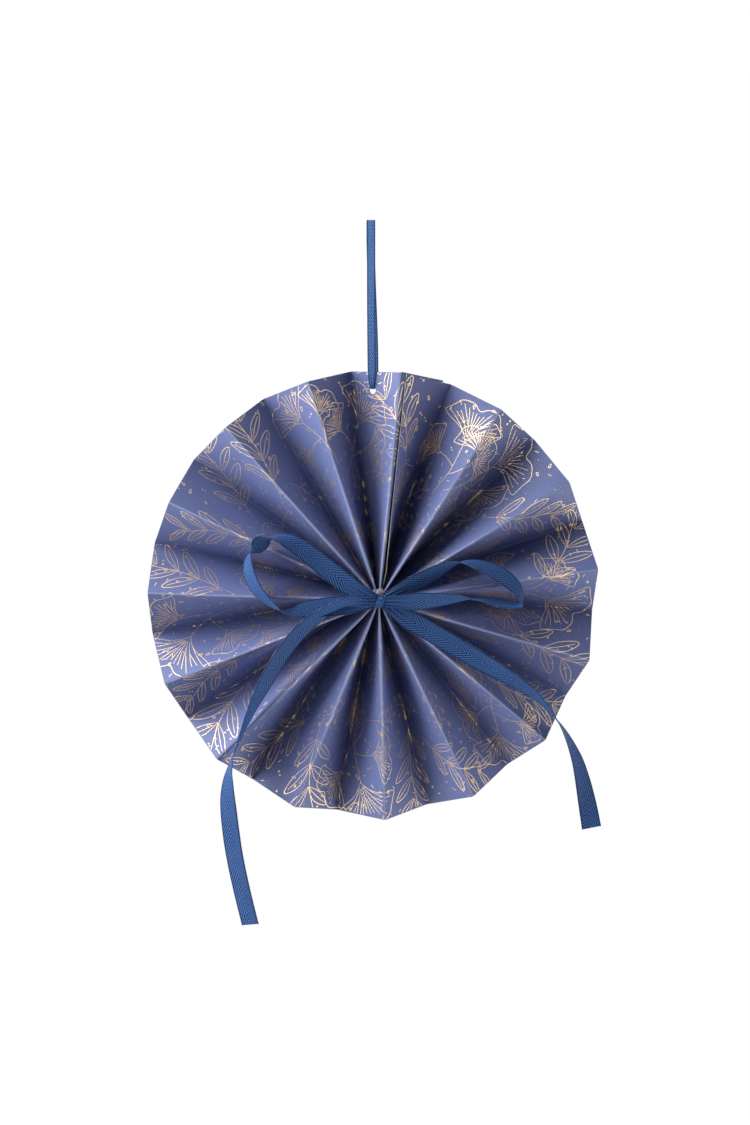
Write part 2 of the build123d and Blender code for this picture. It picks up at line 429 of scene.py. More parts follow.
def punch(centre, axis):
    """The round punch that cuts the hanging hole, standing across the paper."""
    cutter = new_piece("hole_punch")
    bm = bmesh.new()
    turn = axis.to_track_quat("Z", "Y").to_matrix().to_4x4()
    turn.translation = centre
    bmesh.ops.create_cone(
        bm,
        cap_ends=True,
        segments=48,
        radius1=hole_diameter / 2,
        radius2=hole_diameter / 2,
        depth=hole_diameter,
        matrix=turn,
    )
    bm.to_mesh(cutter.data)
    bm.free()
    return cutter


_, hole_centre, hole_axis, _ = strip.ray_cast((hole_across, -1, hole_up), (0, 1, 0))
hole_punch = punch(hole_centre, hole_axis)
paper = new_piece("pleated_paper", strip.data.copy())
paper.data.materials.append(bare_paper("paper_back", (0.80, 0.79, 0.76)))
paper.data.materials.append(bare_paper("paper_cut_edge", (0.94, 0.88, 0.76)))
thick = paper.modifiers.new("Thickness", "SOLIDIFY")
thick.thickness = paper_thickness
thick.offset = 0
thick.material_offset = 1
thick.material_offset_rim = 2
hole = paper.modifiers.new("Hole", "BOOLEAN")
hole.operation = "DIFFERENCE"
hole.solver = "MANIFOLD"
hole.object = hole_punch
as_plain_mesh(paper)
bpy.data.objects.remove(hole_punch)
smooth_up_to(paper, 40)
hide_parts("pleated_fan")
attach(paper, "root")

# Foil print
# Fine gold lines stamped on the flat strip before it was folded, so they run over every fold and
# off every edge: a plain scatter of fan leaves, leafy branches, berry sprigs and small marks.
foil_line_width = 0.00036
foil_height = 0.00002


def turned(points, base, degrees):
    """Points of a stroke turned by an angle and moved to the place that carries it."""
    c, s = cos(radians(degrees)), sin(radians(degrees))
    return [(base[0] + x * c - y * s, base[1] + x * s + y * c) for x, y in points]


def fan_leaf(base, degrees, radius):
    """A notched fan-shaped leaf with a rippled rim and veins that spread from its stalk."""

    def rim(angle, share):
        notch = 0.28 * exp(-((angle / 8) ** 2))
        reach = radius * share * (1 + 0.035 * cos(radians(angle * 12)) - notch)
        return reach * sin(radians(angle)), reach * cos(radians(angle))

    outline = [(0, 0), rim(-36, 0.30), rim(-58, 0.70)]
    outline += [rim(angle, 1) for angle in range(-60, 61, 10)]
    outline += [rim(58, 0.70), rim(36, 0.30), (0, 0)]
    strokes = [outline]
    for k, angle in enumerate(range(-52, 53, 8)):
        begin, end = 0.16 if k % 2 == 0 else 0.42, 0.9 - 0.06 * (k % 3)
        strokes.append([rim(angle * 0.7, begin), rim(angle * 0.86, 0.6), rim(angle, end)])
    return [turned(stroke, base, degrees) for stroke in strokes]


def leaf_spray():
    """Three fan leaves on one bent stem."""
    stem = [(0, -0.026), (0.003, -0.014), (0.001, -0.004), (0, 0.003)]
    side_stem = [(0.0025, -0.014), (0.008, -0.010), (0.011, -0.003)]
    other_stem = [(0.002, -0.010), (-0.005, -0.007), (-0.010, -0.008)]
    return (
        [stem, side_stem, other_stem]
        + fan_leaf((0, 0.003), 8, 0.020)
        + fan_leaf((0.011, -0.003), -58, 0.016)
        + fan_leaf((-0.010, -0.008), 76, 0.014)
    )


def leafy_branch():
    """A bent stem with long open leaves in pairs, each with one vein."""
    strokes = [[(0, -0.024), (0.003, -0.008), (0.002, 0.008), (-0.004, 0.026)]]
    leaf = [(0, 0), (0.35, 0.17), (0.75, 0.13), (1, 0), (0.7, -0.10), (0.3, -0.11), (0, 0)]
    vein = [(0.12, 0.01), (0.5, 0.03), (0.82, 0.01)]
    for k in range(4):
        up = -0.016 + k * 0.0105
        base = (0.0026 - (up / 0.026) ** 2 * 0.004, up)
        length = 0.019 - 0.0022 * abs(k - 1)
        for degrees, flip in ((48, 1), (132, -1)):
            for stroke in (leaf, vein):
                points = [(x * length, y * length * flip) for x, y in stroke]
                strokes.append(turned(points, base, degrees))
    return strokes


def ring_stroke(centre, radius):
    """A small circle, drawn a little past its start so that it closes."""
    turn = [k * 45 for k in range(10)]
    return [(centre[0] + radius * sin(radians(t)), centre[1] + radius * cos(radians(t))) for t in turn]


def berry_sprig():
    """A thin branch with round berries on side stalks."""
    strokes = [[(0, -0.016), (-0.002, -0.004), (0.002, 0.006), (0.001, 0.016)]]
    for k in range(6):
        up = -0.009 + k * 0.0042
        side = 1 if k % 2 == 0 else -1
        tip = (side * (0.0075 - 0.0007 * k), up + 0.005)
        strokes.append([(0, up), (tip[0] * 0.6, up + 0.0012), tip])
        strokes.append(ring_stroke((tip[0], tip[1] + 0.0012), 0.0013))
        strokes.append(ring_stroke((tip[0], tip[1] + 0.0012), 0.0006))
    return strokes


def foil_motif(name, strokes):
    """A flat curve object with one line for each stroke, thin at its ends."""
    curve = bpy.data.curves.new(name, "CURVE")
    curve.dimensions = "3D"
    for stroke in strokes:
        spline = curve.splines.new("NURBS")
        spline.points.add(len(stroke) - 1)
        for k, (control, (x, y)) in enumerate(zip(spline.points, stroke)):
            control.co = (x, y, 0, 1)
            control.radius = 0.65 + 0.35 * sin(pi * k / (len(stroke) - 1))
        spline.order_u = 3
        spline.use_endpoint_u = True
    motif = bpy.data.objects.new(name, curve)
    bpy.context.scene.collection.objects.link(motif)
    return motif


def gold_foil():
    """Stamped gold foil, slightly uneven in colour and gloss."""
    material, tree, shader = new_finish("gold_foil", Metallic=1.0)
    place = add_node(tree, "ShaderNodeTexCoord", "Object")
    patches = speckle(tree, place, 420.0, 3.0)
    feed(
        tree,
        shader.inputs["Base Color"],
        blended(tree, patches, (0.58, 0.40, 0.20, 1), (0.86, 0.68, 0.42, 1)),
    )
    feed(tree, shader.inputs["Roughness"], patches * 0.2 + 0.46)
    return material


def foil_print_tree(sprays, sprigs, marks):
    """Scatters the motifs over the flat strip, draws them as thin bands and wraps these to the paper."""
    tree, given = shape_tree(
        "foil_print",
        {
            "Paper": "NodeSocketObject",
            "Strip length": "NodeSocketFloat",
            "Strip height": "NodeSocketFloat",
            "Line width": "NodeSocketFloat",
            "Point spacing": "NodeSocketFloat",
            "Mark spacing": "NodeSocketFloat",
            "Height above middle of paper": "NodeSocketFloat",
            "Hole centre": "NodeSocketVector",
            "Hole clearance": "NodeSocketFloat",
            "Seed": "NodeSocketInt",
        },
    )

    def chance(kind, low, high, salt):
        made = tree.nodes.new("FunctionNodeRandomValue")
        made.data_type = kind
        sockets = [s for s in made.inputs if s.enabled and s.name in ("Min", "Max")]
        feed(tree, sockets[0], low)
        feed(tree, sockets[1], high)
        feed(tree, made.inputs["Seed"], given["Seed"] + salt)
        return Field(tree, next(s for s in made.outputs if s.enabled))

    def motif_set(motifs):
        joined = tree.nodes.new("GeometryNodeJoinGeometry")
        for motif in motifs:
            shown = {"Object": motif, "As Instance": True}
            one = add_node(tree, "GeometryNodeObjectInfo", "Geometry", shown)
            tree.links.new(one.socket, joined.inputs[0])
        return Field(tree, joined.outputs[0])

    def scattered(points, motifs, turn, low, high, salt):
        return add_node(
            tree,
            "GeometryNodeInstanceOnPoints",
            0,
            {
                "Points": points,
                "Instance": motif_set(motifs),
                "Pick Instance": True,
                "Instance Index": chance("INT", 0, len(motifs) - 1, salt),
                "Rotation": vector_of(tree, 0, 0, chance("FLOAT", -turn, turn, salt + 1)),
                "Scale": chance("FLOAT", low, high, salt + 2),
            },
        )

    def row_of_points(up, spacing, stray, salt):
        line = add_node(
            tree,
            "GeometryNodeMeshLine",
            0,
            {
                "Count": given["Strip length"] / spacing + 1,
                "Start Location": vector_of(tree, 0.006, up, 0),
                "Offset": vector_of(tree, spacing, 0, 0),
            },
        )
        jitter = chance("FLOAT_VECTOR", (-stray, -stray, 0), (stray, stray, 0), salt)
        return add_node(tree, "GeometryNodeSetPosition", 0, {"Geometry": line, "Offset": jitter})

    sheet_size = {"Size X": given["Strip length"], "Size Y": given["Strip height"]}
    sheet = add_node(tree, "GeometryNodeMeshGrid", 0, sheet_size)
    middle = vector_of(tree, given["Strip length"] / 2, given["Strip height"] / 2, 0)
    sheet = add_node(tree, "GeometryNodeTransform", 0, {"Geometry": sheet, "Translation": middle})
    specks = add_node(
        tree,
        "GeometryNodeDistributePointsOnFaces",
        0,
        {
            "Mesh": sheet,
            "Distance Min": given["Mark spacing"],
            "Density Max": 40000.0,
            "Seed": given["Seed"],
        },
        distribute_method="POISSON",
    )
    # Each row: how far out it lies, its spacing and stray, its motifs, their largest turn, their
    # smallest and largest scale, and the first of the numbers that its random draws start from.
    motif_rows = (
        (0.087, 0.037, 0.006, sprays, 0.9, 0.95, 1.2, 1),
        (0.057, 0.030, 0.006, sprigs, 3.1, 0.7, 0.9, 5),
        (0.034, 0.025, 0.005, sprigs, 3.1, 0.5, 0.7, 9),
        (0.014, 0.020, 0.004, sprigs, 3.1, 0.3, 0.45, 13),
    )
    parts = []
    for up, spacing, stray, motifs, turn, low, high, salt in motif_rows:
        points = row_of_points(up, spacing, stray, salt)
        parts.append(scattered(points, motifs, turn, low, high, salt + 1))
    parts.append(scattered(specks, marks, 3.1, 0.7, 1.2, 18))
    joined = tree.nodes.new("GeometryNodeJoinGeometry")
    for part in parts:
        tree.links.new(part.socket, joined.inputs[0])
    drawn = Field(tree, joined.outputs[0])
    lines = add_node(tree, "GeometryNodeRealizeInstances", 0, {"Geometry": drawn})
    lines = add_node(
        tree,
        "GeometryNodeResampleCurve",
        0,
        {"Curve": lines, "Length": given["Point spacing"]},
        mode="LENGTH",
    )
    lines = add_node(tree, "GeometryNodeSetCurveNormal", 0, {"Curve": lines}, mode="Z_UP")
    half_line = given["Line width"] / 2
    profile = add_node(
        tree,
        "GeometryNodeCurvePrimitiveLine",
        0,
        {"Start": vector_of(tree, 0 - half_line, 0, 0), "End": vector_of(tree, half_line, 0, 0)},
    )
    width = add_node(tree, "GeometryNodeInputRadius", 0)
    bands = add_node(
        tree, "GeometryNodeCurveToMesh", 0, {"Curve": lines, "Profile Curve": profile, "Scale": width}
    )

    paper = add_node(tree, "GeometryNodeObjectInfo", "Geometry", {"Object": given["Paper"]})
    flat_map = add_node(
        tree, "GeometryNodeInputNamedAttribute", 0, {"Name": "strip"}, data_type="FLOAT_VECTOR"
    )
    flat_place = add_node(tree, "GeometryNodeInputPosition", 0)

    def on_paper(kind, output):
        value = add_node(tree, kind, 0)
        return add_node(
            tree,
            "GeometryNodeSampleUVSurface",
            output,
            {"Mesh": paper, "Value": value, "Source UV Map": flat_map, "Sample UV": flat_place},
            data_type="FLOAT_VECTOR",
        )

    spot = on_paper("GeometryNodeInputPosition", "Value")
    normal = calculate("NORMALIZE", on_paper("GeometryNodeInputNormal", "Value"))
    to_hole = add_node(
        tree, "ShaderNodeVectorMath", "Value", {0: spot, 1: given["Hole centre"]}, operation="DISTANCE"
    )
    off_paper = 1 - on_paper("GeometryNodeInputPosition", "Is Valid")
    unwanted = at_least(off_paper, calculate("LESS_THAN", to_hole, given["Hole clearance"]))
    kept = add_node(tree, "GeometryNodeDeleteGeometry", 0, {"Geometry": bands, "Selection": unwanted})
    raised = spot + normal * given["Height above middle of paper"]
    wrapped = add_node(tree, "GeometryNodeSetPosition", 0, {"Geometry": kept, "Position": raised})
    end_tree(tree, wrapped, gold_foil())
    return tree


spray_motifs = [foil_motif("leaf_spray", leaf_spray()), foil_motif("leafy_branch", leafy_branch())]
sprig_motifs = [
    foil_motif("berry_sprig", berry_sprig()),
    foil_motif("fan_leaf", fan_leaf((0, -0.012), 0, 0.022)),
]
mark_motifs = [
    foil_motif("dash", [[(0, -0.0011), (0.0002, 0), (0, 0.0011)]]),
    foil_motif("seed", [[(0, -0.0012), (0.0008, 0.0002), (0, 0.0013), (-0.0008, 0.0002), (0, -0.0012)]]),
    foil_motif("dot", [ring_stroke((0, 0), 0.00022)]),
    foil_motif("berries", [ring_stroke((0, 0.0009), 0.00045), ring_stroke((0.0009, -0.0006), 0.00045)]),
]
foil = grown(
    "foil_print",
    foil_print_tree(spray_motifs, sprig_motifs, mark_motifs),
    {
        "Paper": strip,
        "Strip length": panel_width * (panel_count + 1),
        "Strip height": rim_radius,
        "Line width": foil_line_width,
        "Point spacing": 0.0006,
        "Mark spacing": 0.0037,
        "Height above middle of paper": paper_thickness / 2 + foil_height,
        "Hole centre": hole_centre,
        "Hole clearance": hole_diameter / 2 + 0.0002,
        "Seed": 4,
    },
)
for motif in spray_motifs + sprig_motifs + mark_motifs:
    bpy.data.objects.remove(motif)
bpy.data.objects.remove(strip)
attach(foil, "root")

# Glue bead
# A drop of clear hot glue on the fold tips round the hub, gone grey and lumpy as it set. It holds the
# bow's knot, and shows just above it.
glue_diameter = 0.0084
glue_height = 0.0024
hub_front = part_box("centre_glue")[1][1]
glue_rise = 0.0013
glue_middle = Vector((hub_shift, hub_front, glue_rise))


def hot_glue():
    """Cloudy grey glue with fine bubbles."""
    material, tree, shader = new_finish(
        "hot_glue", Roughness=0.22, Transmission_Weight=0.25, IOR=1.48, Subsurface_Weight=0.4
    )
    shader.inputs["Subsurface Radius"].default_value = (0.002, 0.002, 0.002)
    place = add_node(tree, "ShaderNodeTexCoord", "Object")
    cloud = speckle(tree, place, 900.0, 3.0)
    grey = blended(tree, cloud, (0.20, 0.21, 0.23, 1), (0.52, 0.53, 0.55, 1))
    feed(tree, shader.inputs["Base Color"], grey)
    relief(tree, shader, cloud, 0.0002)
    return material


glue = new_piece("glue_bead")
bm = bmesh.new()
bmesh.ops.create_icosphere(bm, subdivisions=5, radius=1)
ball = bm.verts[:] + bm.edges[:] + bm.faces[:]
bmesh.ops.bisect_plane(bm, geom=ball, plane_co=(0, 0, 0), plane_no=(0, 1, 0), clear_outer=True)
bmesh.ops.holes_fill(bm, edges=bm.edges, sides=0)
for vertex in bm.verts:
    on_dome = vertex.co.y < -0.001
    lump = 1.02 + 0.22 * noise.noise(vertex.co * 2.2 + Vector((3, 1, 7))) * on_dome
    bulge = Vector((glue_diameter / 2, glue_height, glue_diameter / 2)) * lump
    vertex.co = glue_middle + vertex.co * bulge
bmesh.ops.recalc_face_normals(bm, faces=bm.faces)
bm.to_mesh(glue.data)
bm.free()
glue.data.materials.append(hot_glue())
smooth_up_to(glue, 50)
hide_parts("centre_glue")
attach(glue, "root")

# Bow ribbon
# One length of 10 mm herringbone ribbon tied in a bow over the hub: two loops and two hanging tails,
# gathered where they leave the knot. Each route row is a point from the middle of the knot to the
# right, towards the viewer and up, then the way across the ribbon from its lower to its upper edge.
bow_ribbon_width = 0.0095
bow_ribbon_thickness = 0.0004
gathered_ribbon_width = 0.0044
gather_length = 0.018
knot_depth = 0.0044
seat_clearance = 0.00005
knot_middle = Vector((hub_shift, hub_front - glue_height - seat_clearance - knot_depth / 2, 0))
bow_routes = {
    "bow_left_tail": (
        (-0.0010, 0.0012, 0.0002, (0, 0, 1)),
        (-0.0075, 0.0016, 0.0005, (-0.1, -0.5, 0.85)),
        (-0.0145, 0.0020, 0.0010, (-0.1, -0.75, 0.65)),
        (-0.0230, 0.0022, -0.0022, (-0.25, -0.85, 0.45)),
        (-0.0360, -0.0004, -0.0114, (-0.4, -0.6, 0.7)),
        (-0.0465, -0.0022, -0.0242, (-0.5, -0.6, 0.6)),
        (-0.0560, -0.0028, -0.0405, (-0.6, -0.6, 0.4)),
        (-0.0635, -0.0028, -0.0560, (-0.35, -0.9, 0.2)),
        (-0.0718, -0.0046, -0.0780, (0, -1, 0.1)),
        (-0.0738, -0.0075, -0.0905, (0.55, -0.8, 0.05)),
        (-0.0736, -0.0088, -0.1040, (0.85, -0.5, 0.2)),
        (-0.0700, -0.0090, -0.1330, (0.85, -0.5, 0.2)),
        (-0.0632, -0.0090, -0.1610, (0.85, -0.5, 0.15)),
    ),
    "bow_right_loop": (
        (0.0010, -0.0001, 0.0002, (0, 0, 1)),
        (0.0070, -0.0004, 0.0030, (-0.35, -0.2, 0.9)),
        (0.0130, -0.0011, 0.0062, (-0.45, -0.35, 0.8)),
        (0.0240, -0.0015, 0.0120, (-0.4, -0.5, 0.75)),
        (0.0320, -0.0009, 0.0166, (-0.25, -0.75, 0.6)),
        (0.0395, -0.0001, 0.0192, (0, -1, 0.05)),
        (0.0495, -0.0008, 0.0168, (-0.25, -0.8, -0.5)),
        (0.0607, -0.0017, 0.0112, (-0.45, -0.6, -0.65)),
        (0.0682, -0.0013, 0.0040, (-0.45, -0.8, -0.35)),
        (0.0700, -0.0010, -0.0030, (-0.1, -0.95, -0.2)),
        (0.0595, -0.0009, -0.0020, (-0.15, -0.9, -0.35)),
        (0.0465, -0.0001, 0.0008, (0, -1, 0)),
        (0.0340, 0.0003, 0.0010, (0, -0.75, 0.65)),
        (0.0206, 0.0005, 0.0000, (0, -0.4, 0.9)),
        (0.0100, 0.0010, -0.0005, (0, -0.1, 1)),
        (0.0010, 0.0012, 0.0000, (0, 0, 1)),
    ),
    "bow_left_loop": (
        (-0.0010, -0.0001, 0.0004, (0, 0, 1)),
        (-0.0075, -0.0005, 0.0034, (0.4, 0, 0.9)),
        (-0.0140, -0.0013, 0.0068, (0.6, 0, 0.8)),
        (-0.0260, -0.0027, 0.0162, (0.6, 0.1, 0.8)),
        (-0.0350, -0.0027, 0.0240, (0.55, 0.35, 0.75)),
        (-0.0430, -0.0021, 0.0292, (0.5, 0.6, 0.6)),
        (-0.0515, -0.0010, 0.0318, (0.05, 1, 0.05)),
        (-0.0575, -0.0014, 0.0284, (0.55, 0.25, -0.75)),
        (-0.0630, -0.0014, 0.0228, (-0.4, 0.7, -0.6)),
        (-0.0632, -0.0010, 0.0148, (-0.6, 0.8, -0.1)),
        (-0.0594, -0.0012, 0.0058, (-0.65, 0.75, -0.15)),
        (-0.0525, -0.0008, -0.0012, (-0.45, 0.9, -0.15)),
        (-0.0450, -0.0004, -0.0060, (0, 1, 0.1)),
        (-0.0360, -0.0017, -0.0038, (0, 0.65, 0.75)),
        (-0.0215, -0.0023, -0.0024, (0, 0.3, 0.95)),
        (-0.0095, -0.0017, -0.0012, (0, 0.1, 1)),
        (-0.0010, -0.0014, -0.0004, (0, 0, 1)),
    ),
    "bow_right_tail": (
        (0.0010, -0.0014, -0.0002, (0, 0, 1)),
        (0.0055, -0.0020, -0.0032, (0.4, 0, 0.9)),
        (0.0110, -0.0027, -0.0074, (0.55, 0, 0.85)),
        (0.0306, -0.0040, -0.0189, (0.5, 0, 0.85)),
        (0.0504, -0.0038, -0.0310, (0.45, -0.25, 0.85)),
        (0.0635, -0.0033, -0.0384, (0.45, -0.65, 0.6)),
        (0.0758, -0.0035, -0.0468, (0.35, -0.85, 0.35)),
        (0.0865, -0.0047, -0.0586, (0, -1, 0.05)),
        (0.0940, -0.0075, -0.0707, (-0.3, -0.9, -0.2)),
        (0.1010, -0.0090, -0.0882, (-0.8, -0.6, -0.1)),
        (0.1058, -0.0090, -0.1153, (-1, 0, -0.15)),
    ),
}


def smooth_line(points):
    """Points read from the NURBS line that has these control points."""
    curve = bpy.data.curves.new("line", "CURVE")
    curve.dimensions = "3D"
    curve.resolution_u = 14
    spline = curve.splines.new("NURBS")
    spline.points.add(len(points) - 1)
    for control, point in zip(spline.points, points):
        control.co = (*point, 1)
    spline.order_u = 3
    spline.use_endpoint_u = True
    holder = bpy.data.objects.new("line", curve)
    bpy.context.scene.collection.objects.link(holder)
    mesh = bpy.data.meshes.new_from_object(holder)
    line = [vertex.co.copy() for vertex in mesh.vertices]
    bpy.data.objects.remove(holder)
    bpy.data.curves.remove(curve)
    bpy.data.meshes.remove(mesh)
    return line


def ribbon_rows(route, width_at, threads):
    """Rows of points across a ribbon, and its middle line. The ribbon keeps its width as it turns
    over, and ripples where it is gathered."""
    ripple_count = 3.5
    points = [row[0] for row in route]
    lower, upper = [], []
    for k, (point, across) in enumerate(route):
        ahead = points[min(k + 1, len(points) - 1)] - points[max(k - 1, 0)]
        sideways = (across - ahead * (across.dot(ahead) / ahead.dot(ahead))).normalized()
        lower.append(point - sideways)
        upper.append(point + sideways)
    middle = smooth_line(points)
    full_width = max(width_at(point) for point in middle)
    rows = []
    for k, (centre, low, high) in enumerate(zip(middle, smooth_line(lower), smooth_line(upper))):
        ahead = middle[min(k + 1, len(middle) - 1)] - middle[max(k - 1, 0)]
        across = (high - low).normalized()
        through = ahead.cross(across).normalized()
        width = width_at(centre)
        ripple = 0.12 * (full_width - width) * min(k / 3, (len(middle) - 1 - k) / 3, 1)
        row = []
        for j in range(threads + 1):
            share = j / threads - 0.5
            wave = ripple * cos(2 * pi * ripple_count * share)
            row.append(centre + across * (share * width) + through * wave)
        rows.append(row)
    return rows, middle


def ribbon_piece(name, rows, middle, thickness, finish, way=1):
    """A woven strip over these rows, with its length and width in metres as its UV map. The weave
    points along the rows, or against them where way is -1."""
    piece = new_piece(name)
    threads = len(rows[0])
    vertices = [point for row in rows for point in row]
    faces = []
    for i in range(len(rows) - 1):
        for k in range(threads - 1):
            first = i * threads + k
            faces.append((first, first + 1, first + threads + 1, first + threads))
    piece.data.from_pydata(vertices, [], faces)
    lengths = [0.0]
    for a, b in zip(middle, middle[1:]):
        lengths.append(lengths[-1] + (b - a).length)
    full_width = max((row[-1] - row[0]).length for row in rows)
    weave = piece.data.uv_layers.new(name="weave")
    for loop in piece.data.loops:
        i, k = divmod(loop.vertex_index, threads)
        weave.data[loop.index].uv = (way * lengths[i], (k / (threads - 1) - 0.5) * full_width)
    piece.data.materials.append(finish)
    thick = piece.modifiers.new("Thickness", "SOLIDIFY")
    thick.thickness = thickness
    thick.offset = 0
    as_plain_mesh(piece)
    smooth_up_to(piece, 50)
    return piece, lengths[-1]


def herringbone(name, dark, light, width, rib_pitch):
    """Woven ribbon: ribs that slant from the middle to both edges, each a row of short stitches, clearer
    in some places than in others, between two firm dark edges."""
    stitch_pitch = rib_pitch * 0.73
    lean = radians(32)
    material, tree, shader = new_finish(name, Roughness=0.55, Specular_IOR_Level=0.12)
    shader.inputs["Sheen Weight"].default_value = 0.05
    shader.inputs["Sheen Roughness"].default_value = 0.4
    shader.inputs["Sheen Tint"].default_value = (0.45, 0.65, 1.0, 1)
    uv, along, across = uv_parts(tree, "weave")
    off_middle = calculate("ABSOLUTE", across)
    over_ribs = along * sin(lean) + off_middle * cos(lean)
    down_ribs = along * cos(lean) - off_middle * sin(lean)
    ribs = step_up(tree, calculate("SINE", over_ribs * (2 * pi / rib_pitch)), -0.6, 0.6)
    stagger = over_ribs * (pi / rib_pitch)
    stitches = calculate("SINE", down_ribs * (2 * pi / stitch_pitch) + stagger) * 0.5 + 0.5
    clear = step_up(tree, speckle(tree, uv, 75.0), 0.35, 0.7) * 0.7 + 0.55
    thread = speckle(tree, uv, 1500.0)
    weave = ribs * 0.75 + stitches * 0.25
    weave = (weave - 0.5) * clear + thread * 0.9 + 0.05
    edge = step_up(tree, off_middle, width / 2 - 0.0008, width / 2 - 0.0004)
    weave = weave * (1 - edge * 0.75)
    feed(tree, shader.inputs["Base Color"], blended(tree, weave, dark, light))
    relief(tree, shader, weave, 0.00012)
    return material


bow_weave = herringbone(
    "bow_ribbon", (0.002, 0.010, 0.050, 1), (0.080, 0.192, 0.500, 1), bow_ribbon_width, 0.0011
)


def gathered_width(point):
    spread = min((point - knot_middle).length / gather_length, 1)
    return gathered_ribbon_width + (bow_ribbon_width - gathered_ribbon_width) * spread


edge_lines = []
for run_name, run_rows in bow_routes.items():
    run_route = [
        (knot_middle + Vector((x, -lift, z)), Vector(across)) for x, lift, z, across in run_rows
    ]
    rows, middle = ribbon_rows(run_route, gathered_width, 20)
    run_way = -1 if run_name == "bow_left_tail" else 1
    run, run_length = ribbon_piece(run_name, rows, middle, bow_ribbon_thickness, bow_weave, run_way)
    edge_lines += [[row[0] for row in rows], [row[-1] for row in rows]]
    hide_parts("bow_ribbon")
    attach(run, "root")


def knot_band():
    """The ribbon's turn round its own strands: a short flattened loop that leans to the right."""
    knot_width, knot_length = 0.0032, 0.0056
    bend_radius = 0.0016
    lean = radians(26)
    across = Vector((cos(lean), 0, -sin(lean)))
    up = Vector((sin(lean), 0, cos(lean)))
    rows = []
    for k in range(65):
        turn = 2 * pi * k / 64
        high = (knot_length / 2 - bend_radius) * max(-1, min(1, 3 * cos(turn))) + bend_radius * cos(turn)
        deep = (knot_depth / 2 - bend_radius) * max(-1, min(1, 3 * sin(turn))) + bend_radius * sin(turn)
        row = []
        for j in range(13):
            share = j / 12 - 0.5
            swell = 1 + 0.05 * cos(2 * pi * 2.5 * share) - 0.10 * (2 * share) ** 2
            width = knot_width * (1.05 - 0.22 * abs(cos(turn)))
            outwards = (up * high + Vector((0, -deep, 0))) * swell
            row.append(knot_middle + across * (share * width) + outwards)
        rows.append(row)
    return rows, [(row[0] + row[-1]) / 2 for row in rows]


rows, middle = knot_band()
knot, _ = ribbon_piece("bow_knot", rows, middle, bow_ribbon_thickness, bow_weave)
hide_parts("bow_ribbon")
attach(knot, "root")


def edge_stitch_tree(finish):
    """Small loops of thread along lines, one at every pitch."""
    tree, given = shape_tree(
        "edge_stitches",
        {
            "Geometry": "NodeSocketGeometry",
            "Pitch": "NodeSocketFloat",
            "Stitch length": "NodeSocketFloat",
            "Stitch thickness": "NodeSocketFloat",
        },
    )
    lines = add_node(tree, "GeometryNodeMeshToCurve", 0, {"Mesh": given["Geometry"]})
    points = add_node(
        tree, "GeometryNodeResampleCurve", 0, {"Curve": lines, "Length": given["Pitch"]}, mode="LENGTH"
    )
    way = add_node(
        tree,
        "FunctionNodeAlignRotationToVector",
        0,
        {"Vector": add_node(tree, "GeometryNodeInputTangent", 0)},
        axis="X",
    )
    loop = add_node(tree, "GeometryNodeMeshIcoSphere", "Mesh", {"Radius": 0.5, "Subdivisions": 2})
    size = vector_of(
        tree, given["Stitch length"], given["Stitch thickness"], given["Stitch thickness"]
    )
    stitches = add_node(
        tree,
        "GeometryNodeInstanceOnPoints",
        0,
        {"Points": points, "Instance": loop, "Rotation": way, "Scale": size},
    )
    end_tree(tree, stitches, finish)
    return tree


def stitched_edges(name, lines, tree, sizes):
    """Stitches along these edge lines, as one piece."""
    mesh = bpy.data.meshes.new(name)
    vertices, edges = [], []
    for line in lines:
        first = len(vertices)
        vertices += line
        edges += [(first + k, first + k + 1) for k in range(len(line) - 1)]
    mesh.from_pydata(vertices, edges, [])
    piece = grown(name, tree, sizes, mesh)
    smooth_up_to(piece, 60)
    return piece


def edge_thread():
    """Dark blue thread of the woven edge, with pale patches painted on as glints."""
    material, tree, shader = new_finish("edge_thread", Roughness=0.35, Specular_IOR_Level=0.6)
    place = add_node(tree, "ShaderNodeTexCoord", "Object")
    patches = speckle(tree, place, 260.0, 2.0)
    # Pale patches here are painted glints, not the thread's own colour.
    painted_glint = step_up(tree, patches, 0.5, 0.7)
    thread = blended(tree, painted_glint, (0.03, 0.08, 0.22, 1), (0.36, 0.46, 0.64, 1))
    feed(tree, shader.inputs["Base Color"], thread)
    return material


stitch_tree = edge_stitch_tree(edge_thread())
stitch_sizes = {"Pitch": 0.00110, "Stitch length": 0.00062, "Stitch thickness": 0.00040}
bow_edges = stitched_edges("bow_edge_stitches", edge_lines, stitch_tree, stitch_sizes)
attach(bow_edges, "root")

# Hanging ribbon
# A narrow ribbon of the same weave, drawn through the punched hole and closed to a loop above the
# rim. Its route starts at the loop's top and is given from the middle of the hole.
hanging_ribbon_width = 0.0040
hanging_ribbon_thickness = 0.0003
pinched_ribbon_width = 0.0018
pinch_length = 0.009
hanging_route = (
    (-0.0009, 0.0017, 0.0795),
    (-0.0009, 0.0018, 0.0720),
    (-0.0007, 0.0020, 0.0600),
    (0.0000, 0.0023, 0.0420),
    (0.0007, 0.0024, 0.0240),
    (0.0009, 0.0024, 0.0110),
    (0.0009, 0.0022, 0.0045),
    (0.0007, 0.0015, 0.0013),
    (0.0000, 0.0000, 0.0005),
    (-0.0006, -0.0015, 0.0015),
    (-0.0006, -0.0020, 0.0060),
    (-0.0007, -0.0019, 0.0140),
    (-0.0008, -0.0016, 0.0280),
    (-0.0009, -0.0014, 0.0460),
    (-0.0009, -0.0013, 0.0620),
    (-0.0009, -0.0013, 0.0740),
    (-0.0009, -0.0013, 0.0815),
    (-0.0009, 0.0022, 0.0815),
    (-0.0009, 0.0023, 0.0760),
    (-0.0009, 0.0024, 0.0700),
)
